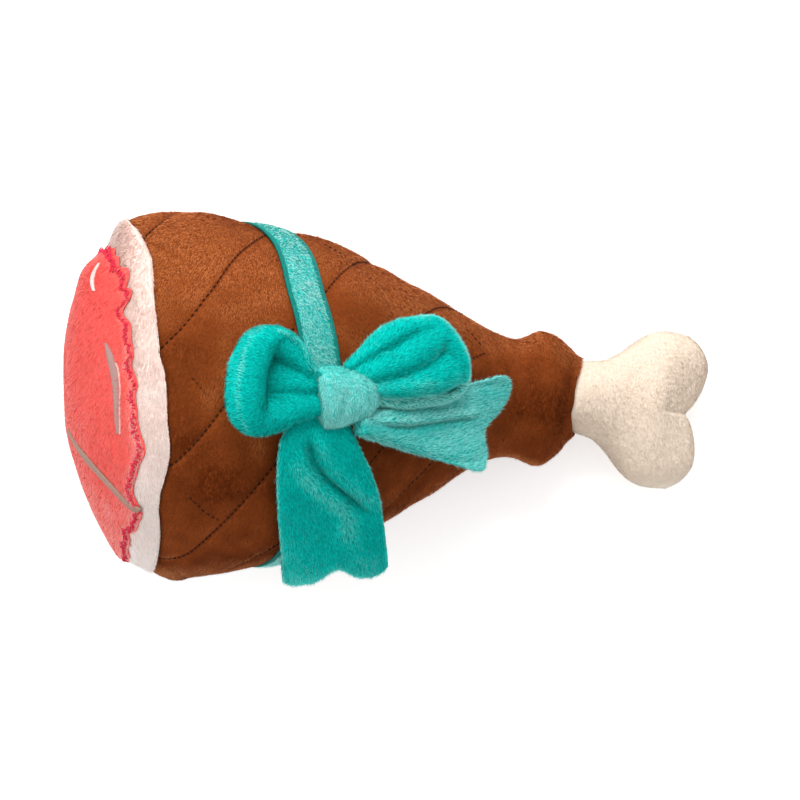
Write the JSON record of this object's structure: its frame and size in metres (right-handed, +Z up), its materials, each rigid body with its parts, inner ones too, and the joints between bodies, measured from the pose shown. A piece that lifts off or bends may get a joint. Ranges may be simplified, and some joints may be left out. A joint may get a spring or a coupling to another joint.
{
  "type": "plush ham leg dog toy",
  "caption": "Stuffed plush dog toy shaped like a ham leg, with a quilted body, meat end, cloth bone, ribbon and bow, and a squeaker inside.",
  "frame": {"origin": "on the surface that the toy lies on, under the middle of its bounding box", "axes": "+X runs along the leg from the meat end to the bone, +Y across it, +Z up through the bow"},
  "size_m": [0.2304, 0.1304, 0.1335],
  "materials": {
    "brown_plush": "short brown plush, quilted with dark thread",
    "cream_plush": "short cream plush",
    "fat_plush": "short pale pink plush",
    "meat_plush": "short coral plush with a crimson zigzag edge",
    "satin": "smooth pale grey satin",
    "ribbon_plush": "short teal plush with dark teal stitched edges",
    "bow_plush": "short teal plush with lighter tips",
    "fibrefill": "loose white polyester fibre",
    "squeaker_plastic": "soft translucent white plastic"
  },
  "bodies": {
    "body": {"skin_front": "brown_plush", "skin_back": "brown_plush", "end_panel": "fat_plush", "meat_patch": "meat_plush", "marbling_top": "satin", "marbling_middle": "satin", "marbling_lower": "satin", "ribbon_front": "ribbon_plush", "ribbon_back": "ribbon_plush", "bow_knot": "bow_plush", "bone_front": "cream_plush", "bone_back": "cream_plush", "stuffing_front": "fibrefill", "stuffing_back": "fibrefill", "stuffing_bone": "fibrefill", "squeaker_bulb": "squeaker_plastic", "whistle_body": "squeaker_plastic", "whistle_reed": "squeaker_plastic", "whistle_cap": "squeaker_plastic"},
    "bow_left": {"bow_loop_left": "bow_plush"},
    "bow_right": {"bow_loop_right": "bow_plush", "bow_tail_right": "bow_plush"},
    "bow_lower_tail": {"bow_tail_lower": "bow_plush"}
  },
  "joints": [
    {"name": "bow_left_lift", "type": "hinge", "parent": "body", "child": "bow_left", "pos_m": [-0.02579, 0.00037, 0.11541], "axis": [0, 1, 0], "range_deg": [0, 60]},
    {"name": "bow_right_lift", "type": "hinge", "parent": "body", "child": "bow_right", "pos_m": [-0.00049, 0.00037, 0.10415], "axis": [0, -1, 0], "range_deg": [0, 60]},
    {"name": "bow_lower_tail_lift", "type": "hinge", "parent": "body", "child": "bow_lower_tail", "pos_m": [-0.01964, -0.01396, 0.1097], "axis": [-0.9258, -0.029, 0.3769], "range_deg": [0, 60]}
  ]
}
